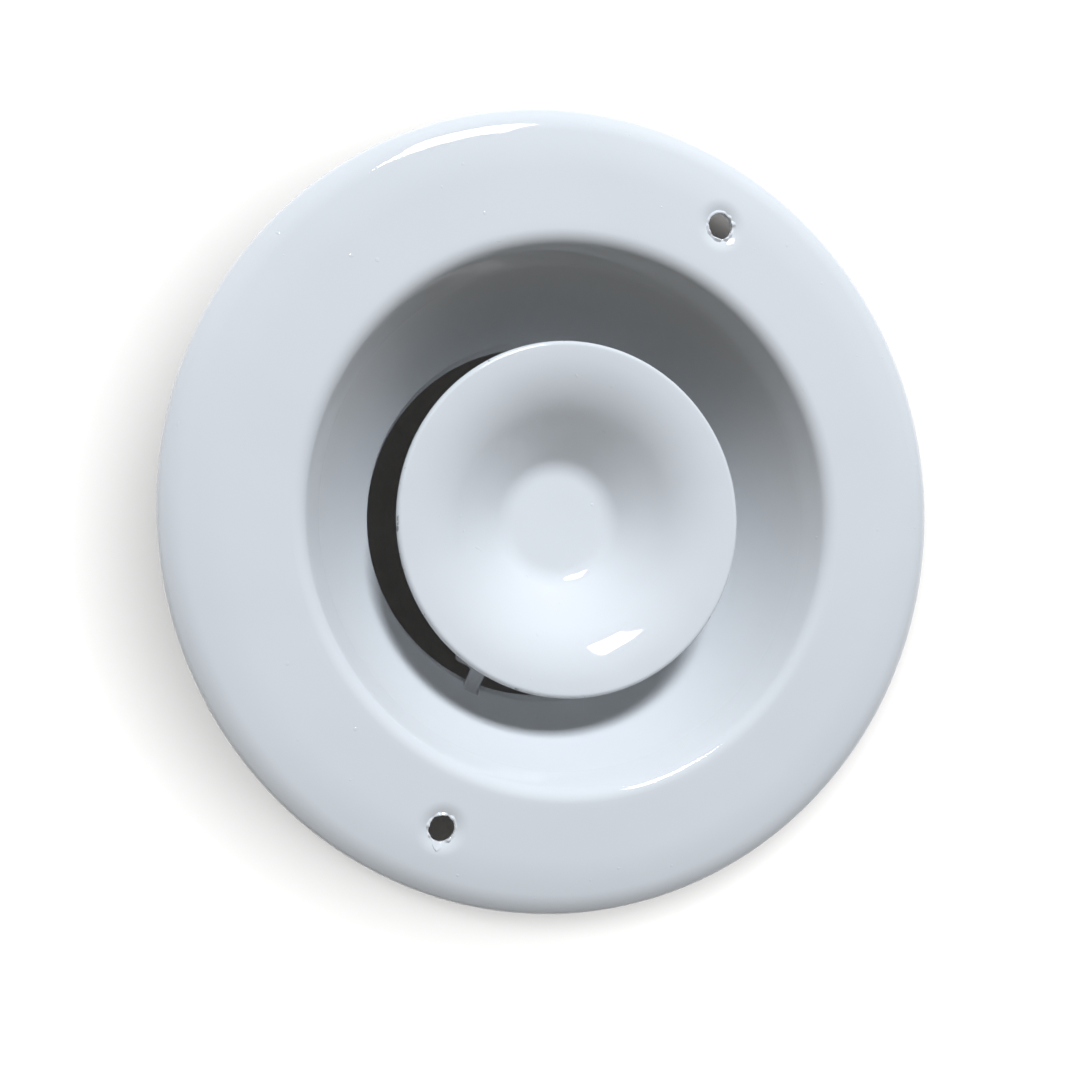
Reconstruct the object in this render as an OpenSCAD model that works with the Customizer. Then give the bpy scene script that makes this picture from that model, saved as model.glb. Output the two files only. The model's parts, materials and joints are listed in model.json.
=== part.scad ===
// Ceiling air valve with an adjustable centre disc.
// +Z points out of the face, into the room. The origin is on the valve's axis, in the plane
// that lies against the ceiling. The bridge and the two screw holes lie along the X axis.

/* [Face ring] */
// Outer radius of the flange
flange_r = 75; // [72:1:90]
// Height of the flange's face above the ceiling
flange_h = 4.5; // [4.3:0.1:4.7]
// Thickness of the steel sheet
sheet_t = 0.8; // [0.6:0.1:1]
// Width of the band where the face falls away towards its edge
edge_fall_w = 8.5; // [8:0.5:10]
// Distance from the rim at which the face turns down more steeply, before its bend
shoulder_w = 2.6; // [2.5:0.1:2.8]
// Height of the face there
shoulder_h = 3.8; // [3.7:0.1:3.9]
// Height of the flange where the steeper face meets the lip
edge_h = 2.2; // [2:0.1:2.4]
// Radius of the bend at the lip
edge_bend = 1.5; // [1:0.1:1.6]
// Radius at which the face turns down into the bell
bell_r = 51.4; // [50:0.1:54]
// Radius of the bend at the top of the bell
bell_bend = 3.5; // [2:0.1:5]
// Radius of the throat, at the foot of the bell
throat_r = 36.25; // [36:0.05:38]
// Depth of the throat below the ceiling plane
throat_depth = 19.9; // [18:0.1:20.5]
// Radius of the bend at the throat
throat_bend = 2; // [1:0.1:3]
// Length of the collar below the throat
collar_len = 5.1; // [4:0.1:8]
// How much the collar narrows over its length
collar_taper = 0.85; // [0:0.05:1]

/* [Screw holes] */
// Diameter of the circle that the two holes lie on
screw_pcd = 125; // [120:0.5:128]
// Radius of each hole
screw_hole_r = 2.5; // [2:0.1:3]
// Radius of the dimple around each hole
dimple_r = 6; // [5:0.5:7]
// Depth of the dimple
dimple_depth = 0.7; // [0.3:0.1:1]

/* [Ceiling gasket] */
// Inner radius of the foam ring
gasket_in_r = 65.3; // [65.2:0.1:66]
// Outer radius of the foam ring
gasket_out_r = 71; // [70:0.1:71.5]

/* [Valve disc] */
// Radius of the disc's rim
disc_r = 33.9; // [33:0.1:34.5]
// Height of the rim above the ceiling plane, at rest
disc_rim_z = -1.1; // [-1.5:0.1:0]
// Height of the hem that is turned down at the rim
disc_hem = 1.4; // [1.3:0.1:1.6]
// Radius at which the nearly flat outer band would meet the dish's wall, before their bend
dish_r = 25.5; // [25:0.1:26]
// Drop of the nearly flat outer band
dish_band_drop = 0.6; // [0.3:0.1:1]
// Radius of the flat floor, before its bend
dish_floor_r = 11; // [10:0.1:11.5]
// Depth of the floor below the rim
dish_depth = 12; // [9:0.1:12.2]

/* [Spindle and its fixings] */
// Pitch of the thread
thread_pitch = 1; // [1:0.25:1]
// Radius of the plain cylinder that stands for the threaded rod
spindle_r = 2.95; // [2.9:0.01:2.98]
// Radius of the threaded bores that it runs in
thread_bore_r = 3; // [3:0.01:3.02]
// Radius of the boss that is welded under the disc
hub_r = 6; // [5:0.1:7]
// Height of the boss
hub_h = 3; // [2:0.1:3.2]
// Length of the spindle
spindle_len = 42.5; // [42.4:0.1:48]
// Radius of the clip groove near the spindle's end
groove_r = 2.5; // [2.3:0.05:2.6]
// Height of the spindle's end below the groove
spindle_tip = 1.95; // [1.5:0.05:3]

/* [Bridge] */
// Width of the strip's middle
bridge_w = 12; // [10:0.5:13]
// Width of the strip's legs
bridge_leg_w = 5; // [4:0.5:6]
// Radius of the round pad around the bush
bridge_pad_r = 9; // [8:0.5:10]
// Thickness of the strip
bridge_t = 1; // [0.8:0.1:1.2]
// Distance of each leg's inner face from the axis
bridge_leg_x = 31.6; // [31:0.1:32]
// Depth of the middle's upper face below the ceiling plane
bridge_depth = 32.6; // [32.4:0.1:32.7]
// Radius of the strip's bends
bridge_bend = 1.2; // [1.2:0.1:1.4]
// Width of the tongue at each end
tongue_w = 3; // [2.5:0.1:4]
// Room beside the tongue in its slot
slot_play = 0.3; // [0.2:0.05:0.5]

/* [Hidden] */
$fn = 96;
// Radii of the soft bends where the flat face starts to fall away and where it turns down
crown_bend = 50;
shoulder_bend = 8;
// Radius of the bend between the disc's rim and its hem
hem_bend = sheet_t + 0.05;
// Radii of the disc's soft bend from its band to its wall, and of the bend at its floor
dish_bend = 20;
dish_floor_bend = 6;
// Segments in each rounded corner of a sheet's outline
arc_steps = 8;
// Gap between faces that meet but turn against each other
face_gap = 0.05;
// Overshoot of a cut past the solid that it cuts
over = 1;

// Colours
enamel = [0.90, 0.92, 0.94];
zinc = [0.66, 0.67, 0.68];
foam = [0.22, 0.22, 0.23];

// Places that follow from the dimensions above
disc_floor_z = disc_rim_z - dish_depth;
hub_top_z = disc_floor_z - sheet_t;
spindle_end_z = hub_top_z - spindle_len;
clip_t = 0.8;
clip_z = spindle_end_z + spindle_tip + face_gap;
bridge_under_z = -bridge_depth - bridge_t;
bush_neck_r = 4.5;
bush_r = 6.5;
bush_h = 4;
bush_foot_z = bridge_under_z - bush_h;
washer_r = 5.9;
washer_t = 1.6;
washer_bore_r = 3.05;
washer_z = bush_foot_z - face_gap - washer_t;
washer_slit = 0.8;
nut_flats = 10;
nut_h = 5;
nut_z = washer_z - face_gap - nut_h;
tongue_top_z = -throat_depth + 0.1;
tongue_end_x = throat_r + 2.75;
tongue_clench = 3;
slot_top_z = -throat_depth + 2;
slot_foot_z = tongue_top_z - bridge_t - slot_play;

function unit(v) = v / norm(v);
function left_of(v) = [-v[1], v[0]];

// Points of an arc of radius r that rounds the corner b of the path a, b, c
function corner(a, b, c, r) =
    let (u = unit(a - b), v = unit(c - b),
         half = acos(u * v) / 2,
         centre = b + unit(u + v) * r / sin(half),
         start = b + u * r / tan(half) - centre,
         side = sign(cross(b - a, c - b)),
         sweep = 180 - 2 * half)
    [for (i = [0 : arc_steps])
        let (t = side * sweep * i / arc_steps)
        centre + [start[0] * cos(t) - start[1] * sin(t), start[0] * sin(t) + start[1] * cos(t)]];

// A path whose inner corners are rounded, one radius for each of them
function rounded(path, radii) =
    [path[0],
     for (i = [1 : len(path) - 2]) each corner(path[i - 1], path[i], path[i + 1], radii[i - 1]),
     path[len(path) - 1]];

// The same path moved sideways by t, to its left
function beside(path, t) =
    [for (i = [0 : len(path) - 1])
        let (last = len(path) - 1,
             before = left_of(unit(path[max(i, 1)] - path[max(i, 1) - 1])),
             after = left_of(unit(path[min(i + 1, last)] - path[min(i + 1, last) - 1])),
             mid = unit(before + after))
        path[i] + mid * t / (mid * before)];

// The outline of a sheet of thickness t to the left of a path
function sheet(path, t) =
    concat(path, [for (i = [len(path) - 1 : -1 : 0]) beside(path, t)[i]]);

module ring(outer_r, inner_r, height) {
    difference() {
        cylinder(r = outer_r, h = height);
        translate([0, 0, -over]) cylinder(r = inner_r, h = height + 2 * over);
    }
}

// Front surface of the pressed ring, from the flange's lip to the collar's end
ring_front = rounded(
    [[flange_r, 0], [flange_r, edge_h], [flange_r - shoulder_w, shoulder_h],
     [flange_r - edge_fall_w, flange_h], [bell_r, flange_h],
     [throat_r, -throat_depth], [throat_r - collar_taper, -throat_depth - collar_len]],
    [edge_bend, shoulder_bend, crown_bend, bell_bend, throat_bend]);

// Front surface of the disc, from its hem to the axis
disc_front = rounded(
    [[disc_r, disc_rim_z - disc_hem], [disc_r, disc_rim_z],
     [dish_r, disc_rim_z - dish_band_drop], [dish_floor_r, disc_floor_z], [0, disc_floor_z]],
    [hem_bend, dish_bend, dish_floor_bend]);

// Upper surface of the bent strip from end to end, seen from the side: a clenched end, a tongue,
// a leg down into the duct, the middle, and the same again
bridge_half_path = [[tongue_end_x, tongue_top_z - bridge_t - tongue_clench],
                    [tongue_end_x, tongue_top_z], [bridge_leg_x, tongue_top_z],
                    [bridge_leg_x, -bridge_depth]];
bridge_top = rounded(
    concat([for (p = bridge_half_path) [-p[0], p[1]]],
           [for (i = [3 : -1 : 0]) bridge_half_path[i]]),
    [for (i = [1 : 6]) bridge_bend]);

// The pressed-in cone around a screw hole, trimmed where the face falls away outside it
module dimple() {
    seat_w = 0.9;
    top = flange_h;
    floor = flange_h - dimple_depth;
    slope_r = screw_hole_r + seat_w;
    intersection() {
        translate([screw_pcd / 2, 0, 0])
            rotate_extrude()
                polygon([[dimple_r, top], [slope_r, floor], [screw_hole_r, floor],
                         [screw_hole_r, floor - sheet_t], [slope_r, floor - sheet_t],
                         [dimple_r, top - sheet_t]]);
        rotate_extrude()
            polygon([[flange_r, -over], each [for (p = ring_front) if (p[0] > bell_r) p],
                     [bell_r, flange_h], [bell_r, -over]]);
    }
}

// Slot at the foot of the bell, from inside the collar to outside the bell's wall
module tongue_slot() {
    slot_w = tongue_w + 2 * slot_play;
    reach_in = 3;
    reach_out = 5;
    translate([throat_r - reach_in, -slot_w / 2, slot_foot_z])
        cube([reach_in + reach_out, slot_w, slot_top_z - slot_foot_z]);
}

module face_ring() {
    color(enamel) {
        difference() {
            rotate_extrude() polygon(sheet(ring_front, sheet_t));
            for (side = [-1, 1])
                translate([side * screw_pcd / 2, 0, 0]) cylinder(r = dimple_r, h = flange_h + over);
            for (turn = [0, 180])
                rotate(turn) tongue_slot();
        }
        for (turn = [0, 180])
            rotate(turn) dimple();
    }
}

// Foam ring that fills the flange's back, notched around the dimples
module ceiling_gasket() {
    notch_r = dimple_r + 0.4;
    back = beside(ring_front, sheet_t);
    color(foam)
        difference() {
            rotate_extrude()
                polygon([[gasket_in_r, 0], [gasket_out_r, 0],
                         [gasket_out_r, lookup(gasket_out_r, back)],
                         for (p = back) if (p[0] > gasket_in_r && p[0] < gasket_out_r) p,
                         [gasket_in_r, lookup(gasket_in_r, back)]]);
            for (side = [-1, 1])
                translate([side * screw_pcd / 2, 0, -over]) cylinder(r = notch_r, h = flange_h + 2 * over);
        }
}

// The strip's outline from above: a wide middle with a round pad, narrow legs and the tongues
module bridge_plan() {
    pad_from = asin(bridge_w / 2 / bridge_pad_r);
    taper_from = 12;
    taper_to = bridge_leg_x - 1;
    leg_out_x = bridge_leg_x + bridge_t;
    pad = [for (i = [0 : 2 * arc_steps])
        let (turn = pad_from + (180 - 2 * pad_from) * i / (2 * arc_steps))
        bridge_pad_r * [cos(turn), sin(turn)]];
    arm = [[taper_from, bridge_w / 2], [taper_to, bridge_leg_w / 2],
           [leg_out_x, bridge_leg_w / 2], [leg_out_x, tongue_w / 2],
           [tongue_end_x + over, tongue_w / 2]];
    upper = concat([for (i = [4 : -1 : 0]) arm[i]], pad, [for (p = arm) [-p[0], p[1]]]);
    polygon(concat(upper, [for (p = upper) -p]));
}

module bridge() {
    depth = bridge_depth + bridge_t + over;
    width = 2 * bridge_pad_r + over;
    color(enamel)
        difference() {
            intersection() {
                rotate([90, 0, 0])
                    translate([0, 0, -width / 2])
                        linear_extrude(width) polygon(sheet(bridge_top, -bridge_t));
                translate([0, 0, -depth]) linear_extrude(depth) bridge_plan();
            }
            translate([0, 0, bridge_under_z - over])
                cylinder(r = bush_neck_r, h = bridge_t + 2 * over);
        }
}

// Round bush with a neck that is pressed into the bridge
module bridge_bush() {
    color(zinc)
        difference() {
            union() {
                translate([0, 0, bridge_under_z]) cylinder(r = bush_neck_r, h = bridge_t);
                translate([0, 0, bush_foot_z]) cylinder(r = bush_r, h = bush_h);
            }
            translate([0, 0, bush_foot_z - over])
                cylinder(r = thread_bore_r, h = bush_h + bridge_t + 2 * over);
        }
}

// Spring washer, pressed flat, with a slanted slit
module lock_washer() {
    slit_lean = 20;
    color(zinc)
        translate([0, 0, washer_z])
            difference() {
                ring(washer_r, washer_bore_r, washer_t);
                rotate([slit_lean, 0, 0])
                    translate([0, -washer_slit / 2, -2 * washer_t])
                        cube([washer_r + over, washer_slit, 5 * washer_t]);
            }
}

// Hexagon prism whose corners are chamfered at both ends
module lock_nut() {
    corner_r = nut_flats / 2 / cos(30);
    chamfer = 0.6;
    color(zinc)
        translate([0, 0, nut_z])
            difference() {
                intersection() {
                    cylinder(r = corner_r, h = nut_h, $fn = 6);
                    rotate_extrude()
                        polygon([[0, 0], [corner_r - 2 * chamfer, 0], [corner_r, chamfer],
                                 [corner_r, nut_h - chamfer], [corner_r - 2 * chamfer, nut_h],
                                 [0, nut_h]]);
                }
                translate([0, 0, -over]) cylinder(r = thread_bore_r, h = nut_h + 2 * over);
            }
}

module valve_disc() {
    color(enamel) rotate_extrude() polygon(sheet(disc_front, sheet_t));
}

module disc_hub() {
    color(zinc)
        translate([0, 0, hub_top_z - hub_h]) ring(hub_r, spindle_r, hub_h);
}

// Threaded rod, as a plain cylinder with a groove and a chamfered end
module spindle() {
    chamfer = 0.7;
    groove_foot = spindle_end_z + spindle_tip;
    groove_top = groove_foot + clip_t + 2 * face_gap;
    color(zinc)
        rotate_extrude()
            polygon([[0, spindle_end_z], [spindle_r - chamfer, spindle_end_z],
                     [spindle_r, spindle_end_z + chamfer], [spindle_r, groove_foot],
                     [groove_r, groove_foot], [groove_r, groove_top], [spindle_r, groove_top],
                     [spindle_r, hub_top_z], [0, hub_top_z]]);
}

// Sprung washer that is pushed into the groove from the side
module end_clip() {
    clip_r = 5.4;
    mouth = 3.6;
    window_r = 1.05;
    window_place_r = 3.4;
    color(zinc)
        translate([0, 0, clip_z])
            difference() {
                ring(clip_r, groove_r + face_gap, clip_t);
                translate([0, -mouth / 2, -over]) cube([clip_r + over, mouth, clip_t + 2 * over]);
                for (turn = [110, 250])
                    rotate(turn)
                        translate([window_place_r, 0, -over]) cylinder(r = window_r, h = clip_t + 2 * over);
            }
}

face_ring();
ceiling_gasket();
bridge();
bridge_bush();
lock_washer();
lock_nut();
valve_disc();
disc_hub();
spindle();
end_clip();
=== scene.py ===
"""Looks of a ceiling air valve: white enamelled pressings around a threaded spindle.

+Z points out of the face. The origin is on the valve's axis, in the plane of the ceiling.
"""

import json
from math import acos, cos, hypot, pi, radians, sin, sqrt, tan

import bmesh
import bpy
from mathutils import Matrix, Vector, noise


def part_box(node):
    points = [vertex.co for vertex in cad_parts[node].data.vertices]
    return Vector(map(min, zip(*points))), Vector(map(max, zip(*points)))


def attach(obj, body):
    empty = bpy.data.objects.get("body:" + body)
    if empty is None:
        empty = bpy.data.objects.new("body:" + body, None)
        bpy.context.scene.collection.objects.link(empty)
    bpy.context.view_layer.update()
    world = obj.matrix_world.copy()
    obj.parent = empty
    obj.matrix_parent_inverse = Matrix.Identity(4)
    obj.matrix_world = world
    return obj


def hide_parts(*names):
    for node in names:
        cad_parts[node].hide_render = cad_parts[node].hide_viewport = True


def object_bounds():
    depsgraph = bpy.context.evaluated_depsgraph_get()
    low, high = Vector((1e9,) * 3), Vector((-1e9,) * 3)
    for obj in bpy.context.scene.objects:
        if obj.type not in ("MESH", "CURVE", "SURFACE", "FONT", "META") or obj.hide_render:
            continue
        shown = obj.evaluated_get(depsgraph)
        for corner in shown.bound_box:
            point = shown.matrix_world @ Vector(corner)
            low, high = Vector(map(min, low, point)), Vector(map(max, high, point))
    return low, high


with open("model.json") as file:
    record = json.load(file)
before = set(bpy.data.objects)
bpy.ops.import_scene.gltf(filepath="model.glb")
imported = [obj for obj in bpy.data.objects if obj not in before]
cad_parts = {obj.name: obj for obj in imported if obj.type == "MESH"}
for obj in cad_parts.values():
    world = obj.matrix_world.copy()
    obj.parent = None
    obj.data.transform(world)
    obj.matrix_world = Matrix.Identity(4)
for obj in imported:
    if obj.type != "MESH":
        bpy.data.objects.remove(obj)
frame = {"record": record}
cad_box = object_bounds()

MM = 0.001
ARC_STEPS = 8
EASE_STEPS = 3
SHARP_ANGLE = 35
# Lengths that differ by less than a hair count as equal.
HAIR = 0.0001 * MM

# ------------------------------------------------------------------ places taken from the frame

ring_low, ring_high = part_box("face_ring")
gasket_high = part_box("ceiling_gasket")[1]
disc_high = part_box("valve_disc")[1]
bridge_low, bridge_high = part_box("bridge")
bush_low, bush_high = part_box("bridge_bush")
washer_low, washer_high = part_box("lock_washer")
nut_low, nut_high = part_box("lock_nut")
hub_low, hub_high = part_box("disc_hub")
spindle_low, spindle_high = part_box("spindle")
clip_low, clip_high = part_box("end_clip")

mounts = {m["name"]: m for m in frame["record"]["mounts"]}
screw_circle_r = mounts["screw_holes"]["dims"]["pcd_mm"] / 2 * MM
screw_hole_r = mounts["screw_holes"]["dims"]["hole_r_mm"] * MM

# ------------------------------------------------------------------ dimensions of the design

SHEET = 0.8 * MM
FLANGE_R = ring_high.x
FLANGE_TOP = ring_high.z
EDGE_TOP = 2.2 * MM
EDGE_BEND = 1.5 * MM
SHOULDER_R = FLANGE_R - 2.6 * MM
SHOULDER_TOP = 3.8 * MM
SHOULDER_BEND = 8 * MM
CROWN_R = FLANGE_R - 8.5 * MM
CROWN_BEND = 50 * MM
BELL_R = 51.4 * MM
BELL_BEND = 3.5 * MM
THROAT_R = 36.25 * MM
THROAT_Z = -19.9 * MM
THROAT_BEND = 2 * MM
COLLAR_END_R = 35.4 * MM
DIMPLE_R = 5.2 * MM
DIMPLE_DEPTH = 0.7 * MM
BURR_H = 0.5 * MM
SHEET_EDGE = 0.25 * MM

DISC_R = disc_high.x
DISC_TOP = disc_high.z
DISC_HEM = 1.4 * MM
HEM_BEND = 0.85 * MM
DISH_R = 25.5 * MM
DISH_BAND_DROP = 0.6 * MM
DISH_BEND = 20 * MM
DISH_FLOOR_R = 11 * MM
DISH_FLOOR_BEND = 6 * MM
DISH_DEPTH = 12 * MM

GASKET_IN_R = 65.3 * MM
NOTCH_R = 6.4 * MM

BRIDGE_T = 1 * MM
BRIDGE_BEND = 1.2 * MM
BRIDGE_W = 12 * MM
BRIDGE_LEG_W = 5 * MM
BRIDGE_PAD_R = 9 * MM
BRIDGE_LEG_X = 31.6 * MM
TONGUE_FOLD = 3 * MM
BUSH_NECK_R = 4.5 * MM
WASHER_BORE_R = 3.05 * MM

PITCH = 1 * MM
THREAD_DEPTH = 0.5 * MM
THREAD_R = spindle_high.x
BORE_R = THREAD_R + 0.05 * MM
BORE_THREAD_DEPTH = 0.35 * MM

TONGUE_W = 3 * MM
SLOT_PLAY = 0.3 * MM
SLOT_TOP = THROAT_Z + 2 * MM
SLOT_LOW = bridge_high.z - BRIDGE_T - SLOT_PLAY

FLOOR_Z = cad_box[0].z - 0.2 * MM

# ------------------------------------------------------------------ outlines in the (r, z) plane


def left_of(v):
    """v turned a quarter turn to the left."""
    return Vector((-v.y, v.x))


def corner(a, b, c, radius, steps):
    """Points of an arc that rounds the corner b of the path a, b, c."""
    u = (a - b).normalized()
    v = (c - b).normalized()
    half = acos(max(-1, min(1, u.dot(v)))) / 2
    centre = b + (u + v).normalized() * radius / sin(half)
    start = b + u * radius / tan(half) - centre
    side = 1 if (b - a).cross(c - b) > 0 else -1
    sweep = side * (pi - 2 * half)
    return [centre + Matrix.Rotation(sweep * i / steps, 2) @ start for i in range(steps + 1)]


def rounded(path, radii):
    """A path whose inner corners are rounded, with one radius for each."""
    points = [Vector(p) for p in path]
    out = [points[0]]
    for i, radius in enumerate(radii, start=1):
        out += corner(points[i - 1], points[i], points[i + 1], radius, ARC_STEPS)
    return out + [points[-1]]


def beside(path, gap):
    """The same path moved sideways by gap, to its left."""
    out = []
    for i, point in enumerate(path):
        before = left_of((path[max(i, 1)] - path[max(i, 1) - 1]).normalized())
        last = min(i + 1, len(path) - 1)
        after = left_of((path[last] - path[last - 1]).normalized())
        middle = (before + after).normalized()
        out.append(point + middle * gap / middle.dot(before))
    return out


def densified(path, step):
    """The path with points added, so that no stretch is longer than step."""
    out = [path[0]]
    for a, b in zip(path, path[1:]):
        count = max(1, round((b - a).length / step))
        out += [a.lerp(b, k / count) for k in range(1, count + 1)]
    return out


def sheet_outline(path, thickness, step, round_last=True):
    """Closed outline of a sheet to the left of a path, with eased edges at its ends."""
    back = beside(path, thickness)
    front = densified(path, step)
    rear = densified(back[::-1], step)
    first = (corner(rear[-2], rear[-1], front[0], SHEET_EDGE, EASE_STEPS)
             + corner(rear[-1], front[0], front[1], SHEET_EDGE, EASE_STEPS))
    last = [front[-1], rear[0]]
    if round_last:
        last = (corner(front[-2], front[-1], rear[0], SHEET_EDGE, EASE_STEPS)
                + corner(front[-1], rear[0], rear[1], SHEET_EDGE, EASE_STEPS))
    return first + front[1:-1] + last + rear[1:-1]


def eased_box(r_in, r_out, z_low, z_high, ease, step=None):
    """Closed rectangular outline with rounded corners, from its inner foot round to its inner top."""
    ease_steps = 4
    feet = [Vector(p) for p in ((r_in, z_low), (r_out, z_low), (r_out, z_high), (r_in, z_high))]
    out = []
    for i in range(len(feet)):
        out += corner(feet[i - 1], feet[i], feet[(i + 1) % len(feet)], ease, ease_steps)
    out.append(out[0])
    return (densified(out, step) if step else out)[:-1]


# ------------------------------------------------------------------ mesh building


def new_object(name, verts, faces, sharp_angle=SHARP_ANGLE):
    """A smooth-shaded mesh object whose edges sharper than sharp_angle stay crisp."""
    mesh = bpy.data.meshes.new(name)
    mesh.from_pydata([tuple(v) for v in verts], [], faces)
    mesh.validate()
    mesh.update()
    obj = bpy.data.objects.new(name, mesh)
    bpy.context.scene.collection.objects.link(obj)
    tidy_mesh(obj, sharp_angle)
    return obj


def tidy_mesh(obj, sharp_angle=SHARP_ANGLE):
    """Merges doubled points, turns faces outwards and sets smooth shading."""
    work = bmesh.new()
    work.from_mesh(obj.data)
    bmesh.ops.remove_doubles(work, verts=work.verts, dist=HAIR)
    bmesh.ops.recalc_face_normals(work, faces=work.faces)
    work.to_mesh(obj.data)
    work.free()
    obj.data.shade_smooth()
    obj.data.set_sharp_from_angle(angle=radians(sharp_angle))


def swept_ring(name, section_at, steps, start=0.0, stop=2 * pi, sharp_angle=SHARP_ANGLE):
    """A solid swept round the axis. section_at(angle) is its closed (r, z) outline there."""
    full = stop - start >= 2 * pi
    count = steps if full else steps + 1
    verts, width = [], 0
    for k in range(count):
        angle = start + (stop - start) * k / steps
        section = section_at(angle)
        width = len(section)
        verts += [(r * cos(angle), r * sin(angle), z) for r, z in section]
    faces = []
    for k in range(steps):
        here, there = k * width, (k + 1) % count * width
        for i in range(width):
            j = (i + 1) % width
            faces.append((here + i, there + i, there + j, here + j))
    if not full:
        faces.append(tuple(range(width)))
        faces.append(tuple(range(steps * width, (steps + 1) * width))[::-1])
    return new_object(name, verts, faces, sharp_angle)


def lofted(name, sections):
    """A solid through a row of closed sections, each a list of 3-D points, capped at both ends."""
    width = len(sections[0])
    verts = [p for section in sections for p in section]
    faces = []
    for k in range(len(sections) - 1):
        for i in range(width):
            j = (i + 1) % width
            faces.append((k * width + i, (k + 1) * width + i, (k + 1) * width + j, k * width + j))
    faces.append(tuple(range(width))[::-1])
    faces.append(tuple(range(len(verts) - width, len(verts))))
    return new_object(name, verts, faces)


def cut(obj, cutters):
    """Cuts the cutters out of obj and removes them."""
    for cutter in cutters:
        modifier = obj.modifiers.new("cut", "BOOLEAN")
        modifier.operation = "DIFFERENCE"
        modifier.solver = "EXACT"
        modifier.object = cutter
    depsgraph = bpy.context.evaluated_depsgraph_get()
    mesh = bpy.data.meshes.new_from_object(obj.evaluated_get(depsgraph))
    obj.modifiers.clear()
    obj.data = mesh
    for cutter in cutters:
        bpy.data.objects.remove(cutter)
    mesh.shade_smooth()
    mesh.set_sharp_from_angle(angle=radians(SHARP_ANGLE))


def joined(obj, others):
    """obj with the meshes of the others added to it."""
    with bpy.context.temp_override(active_object=obj, selected_editable_objects=[obj, *others]):
        bpy.ops.object.join()
    return obj


def moved(obj, offset):
    """obj with its mesh moved by offset."""
    obj.data.transform(Matrix.Translation(offset))
    return obj


def cylinder_cutter(centre, radius, z_low, z_high):
    """An upright cylinder to cut with."""
    section = [Vector(p) for p in ((0, z_low), (radius, z_low), (radius, z_high), (0, z_high))]
    return moved(swept_ring("cutter", lambda angle: section, 64), Vector((*centre, 0)))


def box_cutter(low, high):
    """A block to cut with."""
    corners = [(x, y, z) for z in (low[2], high[2]) for x, y in (
        (low[0], low[1]), (high[0], low[1]), (high[0], high[1]), (low[0], high[1]))]
    return lofted("cutter", [corners[:4], corners[4:]])


def smooth_step(t):
    """0 below 0, 1 above 1, and smooth between."""
    t = max(0.0, min(1.0, t))
    return t * t * (3 - 2 * t)


def ripple(angle, count, seed):
    """Noise between -1 and 1 that repeats after a full turn."""
    return noise.noise(Vector((count * cos(angle), count * sin(angle), seed)))


# ------------------------------------------------------------------ pieces


# The face ring's front: up the lip, over the flange, down the bell and the collar.
ring_front = rounded(
    [(FLANGE_R, 0), (FLANGE_R, EDGE_TOP), (SHOULDER_R, SHOULDER_TOP), (CROWN_R, FLANGE_TOP),
     (BELL_R, FLANGE_TOP), (THROAT_R, THROAT_Z), (COLLAR_END_R, ring_low.z)],
    [EDGE_BEND, SHOULDER_BEND, CROWN_BEND, BELL_BEND, THROAT_BEND])


def height_at(path, r):
    """Height of an outline at a radius, on the stretch where the radius falls along it."""
    for a, b in zip(path, path[1:]):
        if a.x >= r > b.x:
            return a.y + (b.y - a.y) * (a.x - r) / (a.x - b.x)
    return path[-1].y


def dimple_drop(distance):
    """How far the sheet is drawn in by a screw hole, at a distance from the hole's centre."""
    share = (DIMPLE_R - distance) / (DIMPLE_R - screw_hole_r)
    return DIMPLE_DEPTH * max(0, min(1, share)) ** 2


def make_face_ring():
    """The flange, bell and collar, in one pressing, with the screw holes and tongue slots."""
    outline = sheet_outline(ring_front, SHEET, 1.2 * MM)
    ring = swept_ring("face_ring_pressing", lambda angle: outline, 360)
    refine_round_holes(ring)
    for vertex in ring.data.vertices:
        if vertex.co.z > 0:
            vertex.co.z -= dimple_drop(hypot(abs(vertex.co.x) - screw_circle_r, vertex.co.y))
    slot_in, slot_out = THROAT_R - 3 * MM, THROAT_R + 5 * MM
    slot_w = TONGUE_W / 2 + SLOT_PLAY
    cutters = []
    for side in (-1, 1):
        cutters.append(cylinder_cutter((side * screw_circle_r, 0), screw_hole_r, 0, FLANGE_TOP + MM))
        low_x, high_x = sorted((side * slot_in, side * slot_out))
        cutters.append(box_cutter((low_x, -slot_w, SLOT_LOW), (high_x, slot_w, SLOT_TOP)))
    cut(ring, cutters)
    return joined(ring, [make_burr(1, radians(-60), 0.3 * MM), make_burr(-1, radians(190), 1.4 * MM)])


def refine_round_holes(ring):
    """Makes the flange's faces finer round the screw holes, for the dimples."""
    reach = 8 * MM
    work = bmesh.new()
    work.from_mesh(ring.data)
    near = [edge for edge in work.edges
            if all(hypot(abs(v.co.x) - screw_circle_r, v.co.y) < reach for v in edge.verts)]
    bmesh.ops.subdivide_edges(work, edges=near, cuts=3, use_grid_fill=True)
    work.to_mesh(ring.data)
    work.free()
    tidy_mesh(ring)


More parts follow.
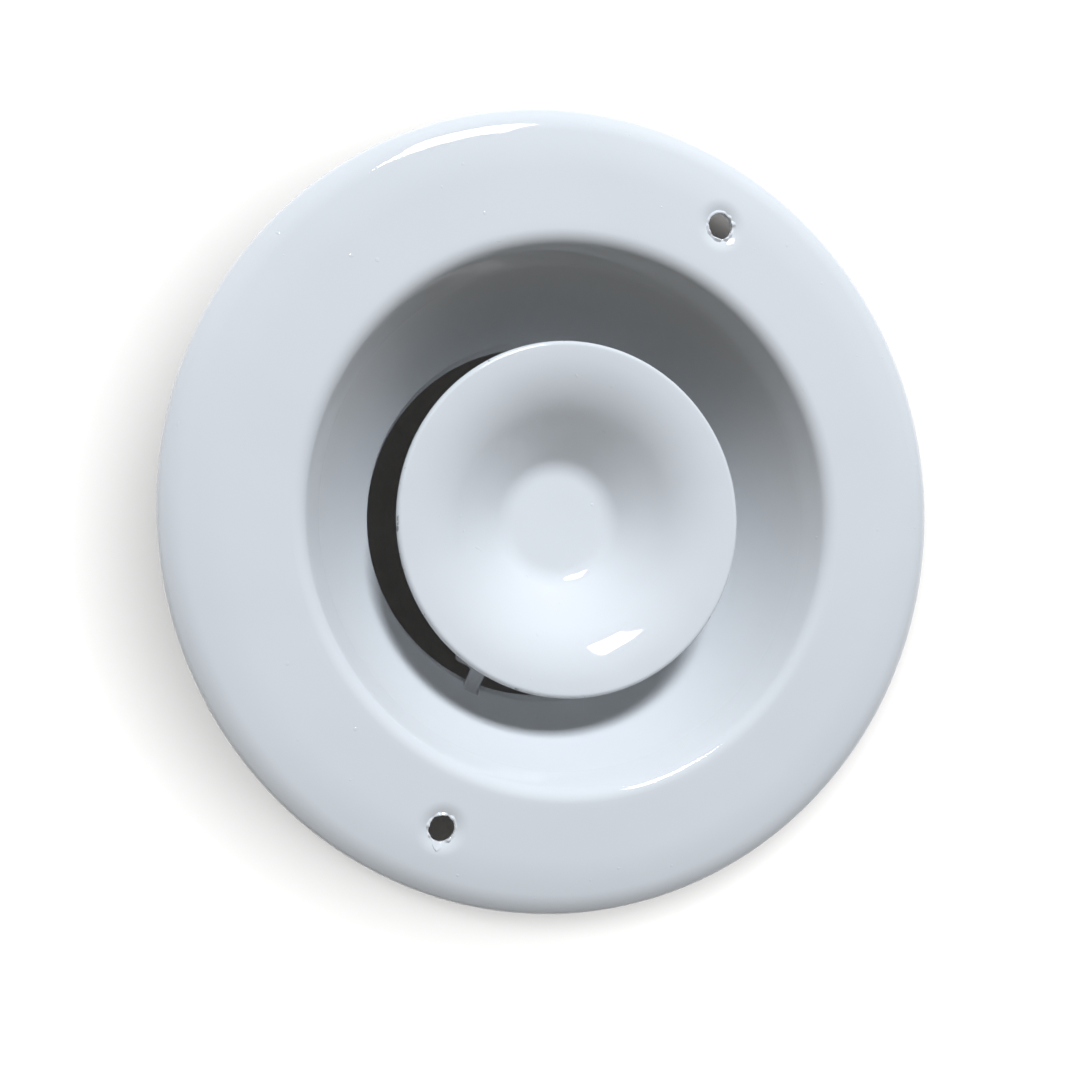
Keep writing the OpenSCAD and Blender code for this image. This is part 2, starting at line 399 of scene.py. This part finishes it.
def make_burr(side, tab_at, tab_len):
    """A ragged lip of torn paint and metal round the front edge of a screw hole, with one torn tab.

    The tab points to the angle tab_at and is tab_len long.
    """
    tab_half_width = radians(26)
    tab_lift = 0.08 * MM
    edge_z = FLANGE_TOP - dimple_drop(screw_hole_r)

    def section(angle):
        rag = smooth_step(0.5 + 0.9 * ripple(angle, 2.6, side * 4.0))
        from_tab = abs((angle - tab_at + pi) % (2 * pi) - pi)
        tab = max(0, 1 - from_tab / tab_half_width)
        inner = screw_hole_r - 0.14 * MM * rag
        crest = screw_hole_r + 0.1 * MM
        outer = screw_hole_r + (0.3 + 0.25 * rag) * MM + tab_len * tab
        outer_z = FLANGE_TOP - dimple_drop(outer) + tab_lift * tab
        return [Vector(p) for p in (
            (inner, edge_z - BURR_H / 2), (inner, edge_z + BURR_H * (0.1 + 0.8 * rag)),
            (crest, edge_z + BURR_H * (0.2 + 0.9 * rag)),
            (outer, outer_z), (outer, outer_z - 0.3 * BURR_H))]

    burr = swept_ring("torn_lip", section, 110, sharp_angle=30)
    return moved(burr, Vector((side * screw_circle_r, 0, 0)))


def make_disc():
    """The dished valve disc with its thin turned-down rim."""
    front = rounded(
        [(DISC_R, DISC_TOP - DISC_HEM), (DISC_R, DISC_TOP), (DISH_R, DISC_TOP - DISH_BAND_DROP),
         (DISH_FLOOR_R, DISC_TOP - DISH_DEPTH), (0, DISC_TOP - DISH_DEPTH)],
        [HEM_BEND, DISH_BEND, DISH_FLOOR_BEND])
    outline = sheet_outline(front, SHEET, 0.8 * MM, round_last=False)
    return swept_ring("valve_disc_pressing", lambda angle: outline, 256)


def make_gasket():
    """The foam ring, notched round the dimples of the screw holes."""
    ease, gap = 0.3 * MM, 0.05 * MM
    back = beside(ring_front, SHEET)

    def inner_radius(angle):
        reach = screw_circle_r * abs(sin(angle))
        if reach >= NOTCH_R:
            return GASKET_IN_R
        return max(GASKET_IN_R, screw_circle_r * abs(cos(angle)) + sqrt(NOTCH_R ** 2 - reach ** 2))

    def section(angle):
        outline = eased_box(inner_radius(angle), gasket_high.x, 0, gasket_high.z, ease)
        return [Vector((r, min(z, height_at(back, r) - gap))) for r, z in outline]

    return swept_ring("foam_gasket", section, 360)


def strip_half_width(point):
    """Half the width of the bridge's strip at a point of its side outline."""
    taper_from, taper_to = 12 * MM, BRIDGE_LEG_X - MM
    tongue_from = BRIDGE_LEG_X + BRIDGE_T + 0.3 * MM
    x = abs(point.x)
    if x > tongue_from:
        return TONGUE_W / 2
    pad = sqrt(max(0, BRIDGE_PAD_R ** 2 - x ** 2))
    share = smooth_step((x - taper_from) / (taper_to - taper_from))
    return max(pad, (BRIDGE_W + (BRIDGE_LEG_W - BRIDGE_W) * share) / 2)


def make_bridge():
    """The bent strip across the throat, with a pressed rib along each arm."""
    middle_z = bridge_low.z + BRIDGE_T
    end_x, top_z = bridge_high.x, bridge_high.z
    half = [(end_x, top_z - BRIDGE_T - TONGUE_FOLD), (end_x, top_z),
            (BRIDGE_LEG_X, top_z), (BRIDGE_LEG_X, middle_z)]
    path = rounded([(-x, z) for x, z in half] + half[::-1], [BRIDGE_BEND] * 6)
    path = densified(path, 0.5 * MM)
    under = beside(path, -BRIDGE_T)
    rib_from, rib_to, rib_run_out = 10 * MM, 29 * MM, 3 * MM
    rib_h, rib_half_w = 0.6 * MM, 1.6 * MM
    ease = 0.2 * MM
    columns = 8
    sections = []
    for top, bottom in zip(path, under):
        reach = strip_half_width(top)
        down = (bottom - top).normalized()
        share = smooth_step(min(abs(top.x) - rib_from, rib_to - abs(top.x)) / rib_run_out)
        if top.y > middle_z + ease:
            share = 0
        rows = []
        for level, order in ((0, 1), (BRIDGE_T, -1)):
            for c in range(columns + 1)[::order]:
                y = reach * (2 * c / columns - 1)
                rib = rib_h * share * smooth_step(1 - abs(y) / rib_half_w)
                edge = ease if c in (0, columns) else 0
                inset = down * (level + (edge if level == 0 else -edge) - rib)
                rows.append((top.x + inset.x, y, top.y + inset.y))
        sections.append(rows)
    bridge = lofted("bridge_strip", sections)
    hole = cylinder_cutter((0, 0), BUSH_NECK_R, bridge_low.z - MM, middle_z + MM)
    cut(bridge, [hole])
    return bridge


def thread_wave(angle, z):
    """0 at the root and 1 at the crest of a right-hand thread, at an angle and a height."""
    steepness, root = 1.35, 0.12
    turn = (z / PITCH - angle / (2 * pi)) % 1
    ridge = 1 - abs(2 * turn - 1)
    return min(1, max(0, steepness * ridge - root))


def make_spindle():
    """The threaded rod, with a plain neck at the hub, the clip's groove and a chamfered end."""
    chamfer = 0.7 * MM
    core_r = THREAD_R - THREAD_DEPTH
    groove_r, play = 2.5 * MM, 0.05 * MM
    groove_low = clip_low.z - play
    groove_high = clip_high.z + play
    neck_low = hub_low.z - 1.2 * MM
    path = [Vector(p) for p in (
        (0, spindle_low.z), (THREAD_R - chamfer, spindle_low.z), (THREAD_R, spindle_low.z + chamfer),
        (THREAD_R, groove_low), (groove_r, groove_low), (groove_r, groove_high),
        (THREAD_R, groove_high), (THREAD_R, neck_low), (THREAD_R, spindle_high.z), (0, spindle_high.z))]
    path = densified(path, PITCH / 8)

    def section(angle):
        out = []
        for r, z in path:
            threaded = r > core_r and z < neck_low
            deep = core_r + THREAD_DEPTH * thread_wave(angle, z) if threaded else r
            out.append(Vector((min(r, deep), z)))
        return out

    return swept_ring("threaded_spindle", section, 40, sharp_angle=60)


def threaded_bore(angle, z):
    """Radius of a threaded bore that the spindle's thread runs in, never tighter than its crest."""
    return BORE_R + BORE_THREAD_DEPTH * (1 - thread_wave(angle, z))


def make_nut():
    """The hexagon lock nut, chamfered at both ends, with a threaded bore."""
    flats_r = (nut_high.y - nut_low.y) / 2
    corner_r = flats_r / cos(pi / 6)
    end_r = corner_r - 1.5 * MM
    slope, mouth = 0.9 * MM, 0.5 * MM
    path = [Vector(p) for p in (
        (BORE_R + mouth, nut_low.z), (end_r, nut_low.z), (corner_r, nut_low.z + slope),
        (corner_r, nut_high.z - slope), (end_r, nut_high.z), (BORE_R + mouth, nut_high.z),
        (BORE_R, nut_high.z - mouth), (BORE_R, nut_low.z + mouth))]
    path = densified(path + path[:1], PITCH / 6)[:-1]

    def section(angle):
        hexagon = flats_r / cos((angle + pi / 6) % (pi / 3) - pi / 6)
        out = []
        for r, z in path:
            reach = threaded_bore(angle, z) if r < BORE_R + HAIR else min(r, hexagon)
            out.append(Vector((reach, z)))
        return out

    return swept_ring("hexagon_lock_nut", section, 144, sharp_angle=25)


def make_bush():
    """The knurled round bush pressed into the bridge, with a threaded bore."""
    knurls, knurl_depth = 60, 0.16 * MM
    body_r = bush_high.x
    shoulder_z = bridge_low.z
    mouth, slope, neck_slope = 0.5 * MM, 0.4 * MM, 0.2 * MM
    path = [Vector(p) for p in (
        (BORE_R + mouth, bush_low.z), (body_r - mouth, bush_low.z), (body_r, bush_low.z + mouth),
        (body_r, shoulder_z - slope), (body_r - slope, shoulder_z), (BUSH_NECK_R, shoulder_z),
        (BUSH_NECK_R, bush_high.z - neck_slope), (BUSH_NECK_R - neck_slope, bush_high.z),
        (BORE_R + mouth, bush_high.z), (BORE_R, bush_high.z - mouth), (BORE_R, bush_low.z + mouth))]
    path = densified(path + path[:1], PITCH / 6)[:-1]

    def section(angle):
        groove = knurl_depth * (1 - abs(sin(angle * knurls / 2)) ** 0.5)
        out = []
        for r, z in path:
            reach = r
            if r < BORE_R + HAIR:
                reach = threaded_bore(angle, z)
            elif r > body_r - HAIR:
                reach = r - groove
            out.append(Vector((reach, z)))
        return out

    return swept_ring("knurled_bush", section, 360)


def make_washer():
    """The split spring washer, pressed flat, with a slanted slit."""
    ease, step, slit_w = 0.22 * MM, 0.4 * MM, 0.9 * MM
    outline = eased_box(WASHER_BORE_R, washer_high.x, washer_low.z, washer_high.z, ease, step)
    middle_r = (WASHER_BORE_R + washer_high.x) / 2
    slit, lean = slit_w / middle_r, tan(radians(20))
    washer = swept_ring("spring_washer", lambda angle: outline, 120, slit / 2, 2 * pi - slit / 2)
    middle_z = (washer_low.z + washer_high.z) / 2
    for vertex in washer.data.vertices:
        turn = -lean * (vertex.co.z - middle_z) / middle_r
        vertex.co.rotate(Matrix.Rotation(turn, 3, "Z"))
    return washer


def make_clip():
    """The sprung clip in the spindle's groove: three lugs that touch it and two relieved arcs."""
    lug_r, relief_r, out_r = 2.55 * MM, 3.7 * MM, 5.35 * MM
    mouth = radians(38)
    back_lug, tip_lug, lug_run_out = radians(24), radians(19), radians(9)
    tip_taper, taper_depth = radians(16), 0.9 * MM
    ease = 0.12 * MM

    def section(angle):
        from_back = abs(angle - pi)
        from_tip = abs(from_back - (pi - mouth))
        lug = smooth_step(max(back_lug - from_back, tip_lug - from_tip) / lug_run_out)
        inner = relief_r + (lug_r - relief_r) * lug
        outer = out_r - taper_depth * smooth_step((tip_taper - from_tip) / tip_taper)
        return eased_box(inner, outer, clip_low.z, clip_high.z, ease)

    return swept_ring("spindle_clip", section, 120, mouth, 2 * pi - mouth)


def make_hub():
    """The turned boss behind the disc, with the weld bead that holds it."""
    ease, step = 0.35 * MM, 0.5 * MM
    body = eased_box(THREAD_R, hub_high.x, hub_low.z, hub_high.z, ease, step)
    hub = swept_ring("turned_hub", lambda angle: body, 96)
    centre = Vector((hub_high.x, hub_high.z - 0.1 * MM))
    corners = 12
    turns = [2 * pi * i / corners for i in range(corners)]

    def bead_section(angle):
        size = (0.75 + 0.12 * ripple(angle, 9.0, 2.0) + 0.1 * abs(sin(22 * angle))) * MM
        return [centre + size * Vector((cos(t), sin(t) * 0.8 - 0.25)) for t in turns]

    return joined(hub, [swept_ring("weld_bead", bead_section, 220, sharp_angle=80)])


# ------------------------------------------------------------------ materials


class Shader:
    """A material under construction, with short ways to add nodes to it."""

    def __init__(self, name):
        self.material = bpy.data.materials.new(name)
        self.material.use_nodes = True
        self.tree = self.material.node_tree
        self.surface = self.tree.nodes["Principled BSDF"]
        self.place = self.add("ShaderNodeTexCoord").outputs["Object"]

    def add(self, kind, **settings):
        """A new node of a kind, with its settings."""
        node = self.tree.nodes.new(kind)
        for key, value in settings.items():
            setattr(node, key, value)
        return node

    def link(self, source, target):
        """Joins an output to an input."""
        self.tree.links.new(source, target)

    def noise(self, scale, detail=3.0, roughness=0.5, place=None):
        """Noise between 0 and 1, with scale features to the metre."""
        node = self.add("ShaderNodeTexNoise")
        node.inputs["Scale"].default_value = scale
        node.inputs["Detail"].default_value = detail
        node.inputs["Roughness"].default_value = roughness
        self.link(place or self.place, node.inputs["Vector"])
        return node.outputs["Fac"]

    def stretched(self, scale):
        """The object's coordinates, scaled along each axis."""
        node = self.add("ShaderNodeMapping")
        node.inputs["Scale"].default_value = scale
        self.link(self.place, node.inputs["Vector"])
        return node.outputs["Vector"]

    def ramp(self, source, low, high, low_value, high_value):
        """source turned smoothly from low..high into low_value..high_value."""
        node = self.add("ShaderNodeMapRange", interpolation_type="SMOOTHSTEP")
        values = {"From Min": low, "From Max": high, "To Min": low_value, "To Max": high_value}
        for key, value in values.items():
            node.inputs[key].default_value = value
        self.link(source, node.inputs["Value"])
        return node.outputs["Result"]

    def maths(self, operation, first, second):
        """Two outputs combined by an operation."""
        node = self.add("ShaderNodeMath", operation=operation)
        self.link(first, node.inputs[0])
        self.link(second, node.inputs[1])
        return node.outputs["Value"]

    def from_axis(self):
        """Distance from the valve's axis."""
        node = self.add("ShaderNodeVectorMath", operation="LENGTH")
        self.link(self.stretched((1, 1, 0)), node.inputs[0])
        return node.outputs["Value"]

    def blend(self, factor, first, second):
        """From the first colour, where factor is 0, to the second. Each is a colour or an output."""
        colour_sockets, colour_result = (6, 7), 2
        node = self.add("ShaderNodeMix", data_type="RGBA")
        self.link(factor, node.inputs["Factor"])
        for socket, colour in zip(colour_sockets, (first, second)):
            if isinstance(colour, tuple):
                node.inputs[socket].default_value = (*colour, 1)
            else:
                self.link(colour, node.inputs[socket])
        return node.outputs[colour_result]

    def bump(self, height, strength, distance, below=None):
        """A normal bent by a height, on top of the bump below."""
        node = self.add("ShaderNodeBump")
        node.inputs["Strength"].default_value = strength
        node.inputs["Distance"].default_value = distance
        self.link(height, node.inputs["Height"])
        if below:
            self.link(below, node.inputs["Normal"])
        return node.outputs["Normal"]

    def finish(self, colour, roughness, normal, **fixed):
        """Links up the surface, sets its fixed values and returns the material."""
        self.link(colour, self.surface.inputs["Base Color"])
        self.link(roughness, self.surface.inputs["Roughness"])
        self.link(normal, self.surface.inputs["Normal"])
        for key, value in fixed.items():
            self.surface.inputs[key.replace("_", " ")].default_value = value
        return self.material


def enamel_material(name, wave_height, gloss_r, dull_r, chipped=False):
    """Thick white enamel, with a faint orange peel, slow waves and dust nibs.

    Its gloss is full at the radius gloss_r and gone at dull_r, where it may be chipped too.
    """
    shader = Shader(name)
    dull = shader.ramp(shader.from_axis(), gloss_r, dull_r, 0, 1)
    tone = shader.ramp(shader.noise(22, 4), 0.35, 0.65, 0, 1)
    colour = shader.blend(tone, (0.735, 0.765, 0.790), (0.755, 0.782, 0.805))
    if chipped:
        flakes = shader.ramp(shader.noise(520, 3), 0.64, 0.67, 0, 1)
        chips = shader.maths("MULTIPLY", dull, flakes)
        colour = shader.blend(chips, colour, (0.30, 0.30, 0.31))
    gloss = shader.ramp(shader.noise(60, 5, 0.6), 0.3, 0.7, 0.03, 0.08)
    rough = shader.maths("MAXIMUM", gloss, shader.ramp(dull, 0, 1, 0, 0.5))
    waves = shader.bump(shader.noise(85, 1), 0.5, wave_height)
    nibs = shader.bump(shader.ramp(shader.noise(700, 0), 0.84, 0.88, 0, 1), 0.5, 0.06 * MM, waves)
    peel = shader.bump(shader.noise(520, 2), 0.3, 0.02 * MM, nibs)
    return shader.finish(colour, rough, peel, IOR=1.38)


def plated_material():
    """Bright zinc plating: faint blue and straw tints, fine marks round the turned parts."""
    shader = Shader("zinc_plate")
    tint = shader.ramp(shader.noise(160, 3), 0.35, 0.65, 0, 1)
    base = shader.blend(tint, (0.60, 0.62, 0.66), (0.67, 0.65, 0.60))
    dull = shader.ramp(shader.noise(700, 4, 0.7), 0.55, 0.72, 0, 1)
    colour = shader.blend(dull, base, (0.44, 0.44, 0.45))
    gloss = shader.ramp(shader.noise(300, 4), 0.3, 0.7, 0.24, 0.46)
    lathe = shader.noise(900, 2, place=shader.stretched((0.2, 0.2, 3)))
    normal = shader.bump(lathe, 0.3, 0.03 * MM)
    return shader.finish(colour, gloss, normal, Metallic=1.0)


def foam_material():
    """Closed-cell foam: a dark body full of small pores, with painted shade in the pores' hollows."""
    shader = Shader("closed_cell_foam")
    cells = shader.add("ShaderNodeTexVoronoi")
    cells.inputs["Scale"].default_value = 1500
    shader.link(shader.place, cells.inputs["Vector"])
    pore_pits_and_shade = shader.ramp(cells.outputs["Distance"], 0.1, 0.6, 0, 1)
    # Painted shade: the colour is darker in the pores' hollows, where the bump sinks them.
    colour = shader.blend(pore_pits_and_shade, (0.012, 0.012, 0.013), (0.055, 0.055, 0.058))
    dull = shader.ramp(shader.noise(200, 3), 0.3, 0.7, 0.8, 0.98)
    normal = shader.bump(pore_pits_and_shade, 0.7, 0.2 * MM)
    return shader.finish(colour, dull, normal, Sheen_Weight=0.2)


def floor_material():
    """A plain pale floor with a barely visible unevenness."""
    shader = Shader("pale_floor")
    tone = shader.ramp(shader.noise(3, 2), 0.3, 0.7, 0, 1)
    colour = shader.blend(tone, (0.86, 0.86, 0.86), (0.88, 0.88, 0.88))
    rough = shader.ramp(shader.noise(40, 2), 0.3, 0.7, 0.85, 0.95)
    normal = shader.bump(shader.noise(150, 2), 0.05, 0.5 * MM)
    return shader.finish(colour, rough, normal)


# ------------------------------------------------------------------ camera, floor and lights


def make_camera():
    """The camera, high over the face, with its upper edge turned from the line of the screws."""
    eye = Vector((-40.8, 70.0, 251.2)) * MM
    aim = Vector((-17.4, -27.2, 0)) * MM
    up_turn = radians(26.15)
    data = bpy.data.cameras.new("camera")
    data.sensor_width = 36
    data.lens = 46.15
    data.shift_x = -0.111
    data.shift_y = 0.115
    data.clip_start = 0.01
    data.clip_end = 20
    camera = bpy.data.objects.new("camera", data)
    bpy.context.scene.collection.objects.link(camera)
    back = (eye - aim).normalized()
    right = Vector((cos(up_turn), sin(up_turn), 0)).cross(back).normalized()
    up = back.cross(right)
    camera.matrix_world = Matrix.Translation(eye) @ Matrix((right, up, back)).transposed().to_4x4()
    bpy.context.scene.camera = camera


def make_floor():
    """A pale floor under the spindle's end."""
    half = 3.0
    corners = [(x, y, FLOOR_Z) for x, y in ((-half, -half), (half, -half), (half, half), (-half, half))]
    floor = new_object("floor", corners, [(0, 1, 2, 3)])
    floor.data.materials.append(floor_material())
    return floor


def make_backdrop():
    """A pale wall all round, far off. Only the camera sees it, so it adds no light to the valve."""
    radius, low, high = 3.0, -1.0, 3.0
    steps = 96
    turns = [2 * pi * i / steps for i in range(steps)]
    rims = [(radius * cos(t), radius * sin(t), z) for z in (low, high) for t in turns]
    sides = [(i, (i + 1) % steps, steps + (i + 1) % steps, steps + i) for i in range(steps)]
    backdrop = new_object("backdrop", rims, sides)
    backdrop.visible_diffuse = False
    backdrop.visible_glossy = False
    backdrop.visible_shadow = False
    shader = Shader("pale_backdrop")
    tone = shader.ramp(shader.noise(0.8, 1), 0.3, 0.7, 0, 1)
    glow = shader.blend(tone, (0.78, 0.79, 0.80), (0.82, 0.83, 0.84))
    shader.link(glow, shader.surface.inputs["Emission Color"])
    shader.surface.inputs["Emission Strength"].default_value = 1.0
    backdrop.data.materials.append(shader.material)


def place_light(name, azimuth, elevation, distance, size, power, colour, lit):
    """A rectangular light that faces the origin and lights only the objects of the list lit.

    size is its width round the axis and its height.
    """
    data = bpy.data.lights.new(name, "AREA")
    data.shape = "RECTANGLE"
    data.size, data.size_y = size
    data.energy = power
    data.color = colour
    light = bpy.data.objects.new(name, data)
    bpy.context.scene.collection.objects.link(light)
    a, e = radians(azimuth), radians(elevation)
    back = Vector((cos(e) * cos(a), cos(e) * sin(a), sin(e)))
    right = Vector((0, 0, 1)).cross(back).normalized()
    up = back.cross(right)
    spot = Matrix.Translation(back * distance)
    light.matrix_world = spot @ Matrix((right, up, back)).transposed().to_4x4()
    group = bpy.data.collections.new(name + "_lights")
    for obj in lit:
        group.objects.link(obj)
    light.light_linking.receiver_collection = group


def make_flag(material):
    """A studio flag: an unseen disc that keeps the soft box's light off the floor under the valve."""
    radius, height, steps = 89 * MM, 20 * MM, 64
    centre = Vector((7.2 * MM, -15.0 * MM, FLOOR_Z + height))
    turns = [2 * pi * i / steps for i in range(steps)]
    rim = [centre + radius * Vector((cos(t), sin(t), 0)) for t in turns]
    flag = new_object("flag", rim, [tuple(range(steps))])
    flag.visible_camera = False
    flag.visible_glossy = False
    flag.data.materials.append(material)


def make_lights(pieces, floor):
    """A high window on the first screw hole's side, a wide soft box over the floor, a weak surround.

    The window lights the valve alone, and the soft box the floor alone, so that the valve's own
    shadows are firm and the one that it drops on the floor is soft.
    """
    place_light("window", azimuth=19, elevation=49, distance=2.0, size=(0.48, 0.50), power=43,
                colour=(0.94, 0.985, 1.05), lit=pieces)
    place_light("soft_box", azimuth=40, elevation=85, distance=3.0, size=(2.8, 2.8), power=146,
                colour=(1, 1, 1), lit=[floor])
    world = bpy.data.worlds.new("surround")
    bpy.context.scene.world = world
    world.use_nodes = True
    background = world.node_tree.nodes["Background"]
    background.inputs["Color"].default_value = (1.0, 0.95, 0.88, 1)
    background.inputs["Strength"].default_value = 0.12
    bpy.context.scene.view_settings.view_transform = "Standard"


# ------------------------------------------------------------------ assembly

enamel = enamel_material(
    "white_enamel", wave_height=0.12 * MM, gloss_r=BELL_R - MM, dull_r=BELL_R - 6 * MM)
disc_enamel = enamel_material(
    "disc_enamel", wave_height=0.35 * MM, gloss_r=DISC_R - 0.5 * MM, dull_r=DISC_R - 0.1 * MM,
    chipped=True)
plated = plated_material()
foam = foam_material()

PIECES = [
    (make_face_ring, "face_ring", "root", enamel, "enamel"),
    (make_gasket, "ceiling_gasket", "root", foam, "gasket_foam"),
    (make_bridge, "bridge", "root", enamel, "enamel"),
    (make_bush, "bridge_bush", "root", plated, "plated_steel"),
    (make_washer, "lock_washer", "washer_carrier", plated, "plated_steel"),
    (make_nut, "lock_nut", "nut_assembly", plated, "plated_steel"),
    (make_disc, "valve_disc", "disc_assembly", disc_enamel, "enamel"),
    (make_hub, "disc_hub", "disc_assembly", plated, "plated_steel"),
    (make_spindle, "spindle", "disc_assembly", plated, "plated_steel"),
    (make_clip, "end_clip", "clip_carrier", plated, "plated_steel"),
]

make_camera()
pieces = []
for make, node, body, material, slot in PIECES:
    piece = make()
    pieces.append(piece)
    piece.data.materials.clear()
    piece.data.materials.append(material)
    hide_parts(node)
    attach(piece, body)
make_backdrop()
floor = make_floor()
make_lights(pieces, floor)
make_flag(foam)
